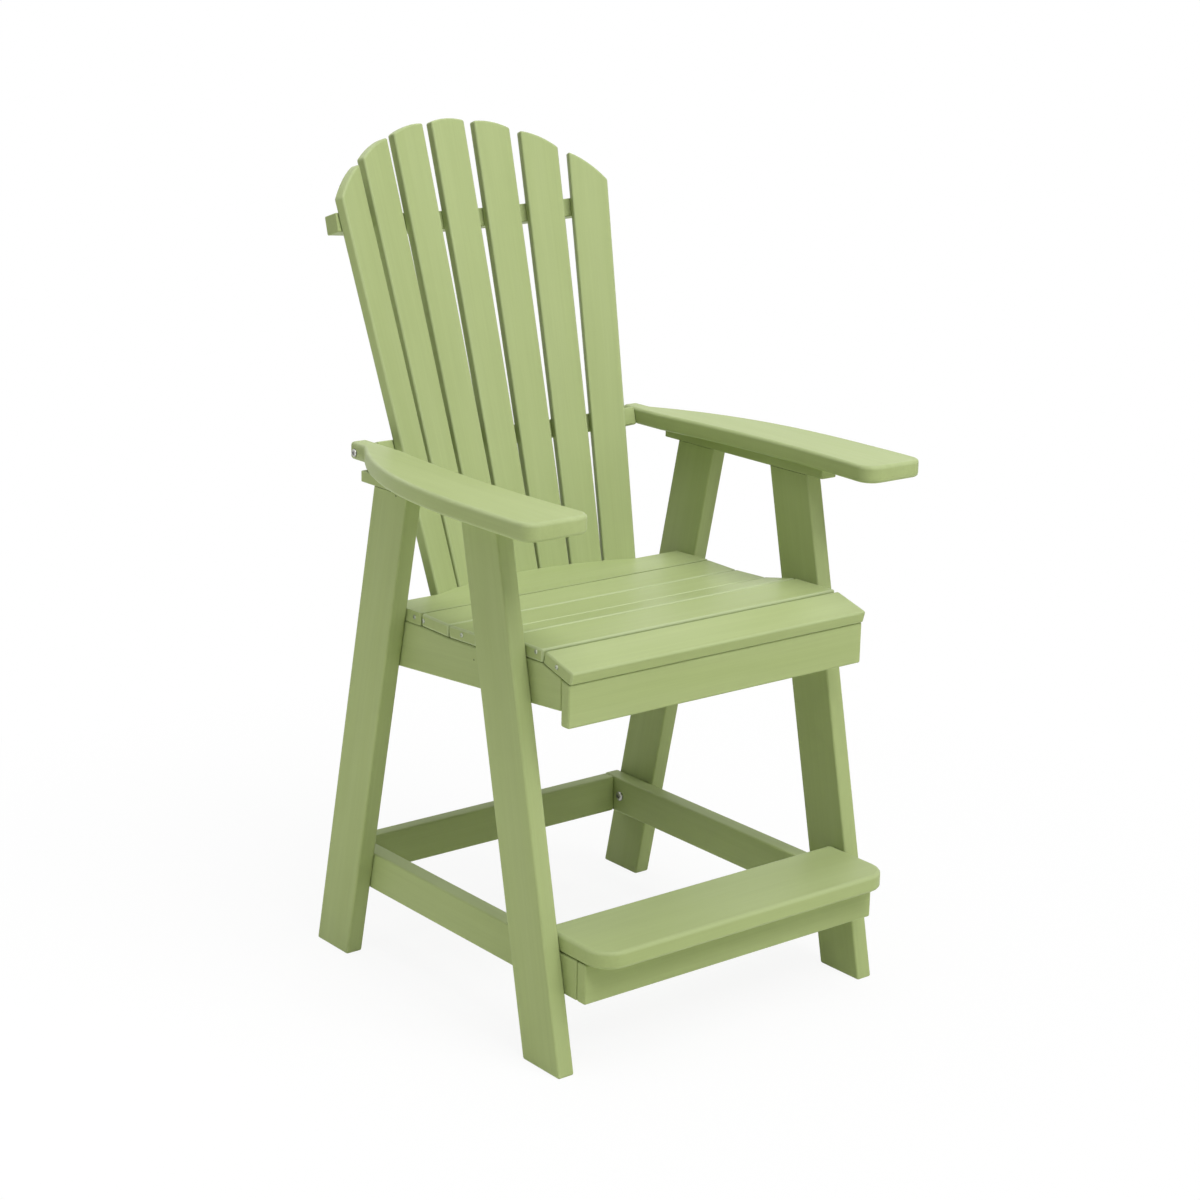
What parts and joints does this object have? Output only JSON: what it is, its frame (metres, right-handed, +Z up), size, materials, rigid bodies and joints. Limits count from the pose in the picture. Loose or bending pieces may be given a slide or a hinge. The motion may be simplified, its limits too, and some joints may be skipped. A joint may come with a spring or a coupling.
{
  "type": "counter chair",
  "caption": "Counter-height armchair with a hollowed fan back, dished slat seat, bowed arms, leaning board legs and a footrest across the front stretcher.",
  "frame": {"origin": "on the floor, under the middle of the chair's overall width and depth", "axes": "+Z up; the sitter faces -Y; +X to the right of someone who looks at the front of the chair"},
  "size_m": [0.8, 0.8512, 1.3654],
  "materials": {
    "lumber": "satin sage-green board with eased edges",
    "fastener": "stainless"
  },
  "bodies": {
    "root": {"arm_bolt_left": "fastener", "arm_bolt_right": "fastener", "arm_left": "lumber", "arm_plate_left": "lumber", "arm_plate_right": "lumber", "arm_right": "lumber", "back_rail_arm": "lumber", "back_rail_lower": "lumber", "back_rail_upper": "lumber", "back_slat_1": "lumber", "back_slat_2": "lumber", "back_slat_3": "lumber", "back_slat_4": "lumber", "back_slat_5": "lumber", "back_slat_6": "lumber", "back_slat_7": "lumber", "footrest_board": "lumber", "footrest_support": "lumber", "leg_front_left": "lumber", "leg_front_right": "lumber", "leg_rear_left": "lumber", "leg_rear_right": "lumber", "rear_stretcher": "lumber", "seat_apron": "lumber", "seat_nosing": "lumber", "seat_rail_bolt_front_left": "fastener", "seat_rail_bolt_front_right": "fastener", "seat_rail_bolt_rear_left": "fastener", "seat_rail_bolt_rear_right": "fastener", "seat_rail_left": "lumber", "seat_rail_right": "lumber", "seat_slat_1": "lumber", "seat_slat_2": "lumber", "seat_slat_3": "lumber", "seat_slat_4": "lumber", "seat_slat_5": "lumber", "side_stretcher_left": "lumber", "side_stretcher_right": "lumber", "stretcher_bolt_front_left": "fastener", "stretcher_bolt_front_right": "fastener", "stretcher_bolt_rear_left": "fastener", "stretcher_bolt_rear_right": "fastener"}
  },
  "joints": []
}
